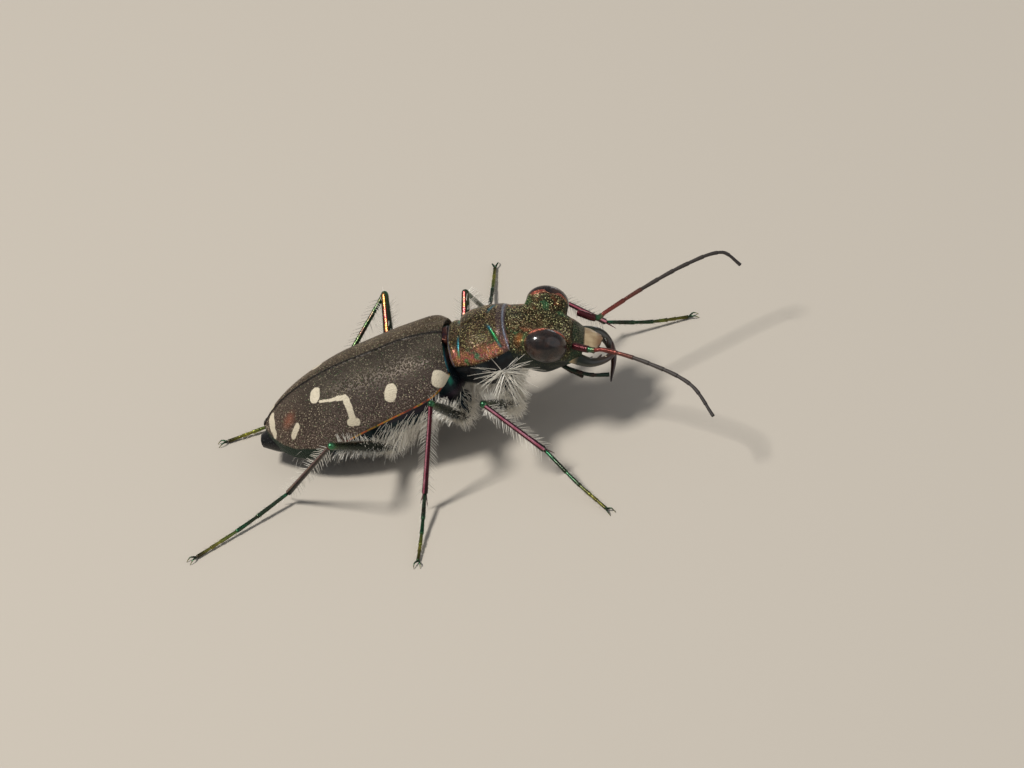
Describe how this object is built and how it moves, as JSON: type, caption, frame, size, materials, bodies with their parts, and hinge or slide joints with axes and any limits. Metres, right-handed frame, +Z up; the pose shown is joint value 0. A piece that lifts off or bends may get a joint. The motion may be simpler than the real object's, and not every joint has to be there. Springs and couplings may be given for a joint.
{
  "type": "tiger beetle",
  "caption": "Life-size still model of a tiger beetle standing alert on its six legs, with long feelers, crossed sickle jaws, bulging eyes and cream-spotted bronze wing cases.",
  "frame": {"origin": "on the floor, under the middle of the bounding box", "axes": "+X towards the head, +Y to the animal's left, +Z up"},
  "size_m": [0.0216, 0.0178, 0.005],
  "materials": {
    "elytron": "dark bronze-brown beetle cuticle, finely granulate, with cream spots and band",
    "thorax_bronze": "bronze cuticle with gold-green grains and green grooves",
    "under_blue": "blue-black polished cuticle under white hair",
    "head_green": "bronze-green cuticle with copper streaks",
    "labrum_cream": "cream upper lip",
    "eye": "glossy brown-black compound eye",
    "jaw": "dark red-brown horn",
    "palp": "dark metallic palp",
    "feeler_base": "red-purple metallic cuticle",
    "feeler": "coppery, then dull grey-brown",
    "femur": "dark green metal with copper lights",
    "tibia": "magenta-purple metal with green ends",
    "tarsus": "dark green metal"
  },
  "bodies": {
    "root": {"pronotum": "thorax_bronze", "scutellum": "thorax_bronze", "prothorax": "under_blue", "pterothorax": "under_blue", "abdomen": "under_blue", "elytron_right": "elytron", "elytron_left": "elytron", "head": "head_green", "labrum": "labrum_cream", "eye_right": "eye", "eye_left": "eye", "mandible_right": "jaw", "mandible_left": "jaw", "maxillary_palp_right": "palp", "maxillary_palp_left": "palp", "labial_palp_right": "palp", "labial_palp_left": "palp", "antenna_right_scape": "feeler_base", "antenna_right_inner": "feeler", "antenna_right_outer": "feeler", "antenna_left_scape": "feeler_base", "antenna_left_inner": "feeler", "antenna_left_outer": "feeler", "leg_front_right_coxa": "under_blue", "leg_front_right_femur": "femur", "leg_front_right_tibia": "tibia", "leg_front_right_tarsus": "tarsus", "leg_front_left_coxa": "under_blue", "leg_front_left_femur": "femur", "leg_front_left_tibia": "tibia", "leg_front_left_tarsus": "tarsus", "leg_middle_right_coxa": "under_blue", "leg_middle_right_femur": "femur", "leg_middle_right_tibia": "tibia", "leg_middle_right_tarsus": "tarsus", "leg_middle_left_coxa": "under_blue", "leg_middle_left_femur": "femur", "leg_middle_left_tibia": "tibia", "leg_middle_left_tarsus": "tarsus", "leg_hind_right_coxa": "under_blue", "leg_hind_right_femur": "femur", "leg_hind_right_tibia": "tibia", "leg_hind_right_tarsus": "tarsus", "leg_hind_left_coxa": "under_blue", "leg_hind_left_femur": "femur", "leg_hind_left_tibia": "tibia", "leg_hind_left_tarsus": "tarsus"}
  },
  "joints": []
}
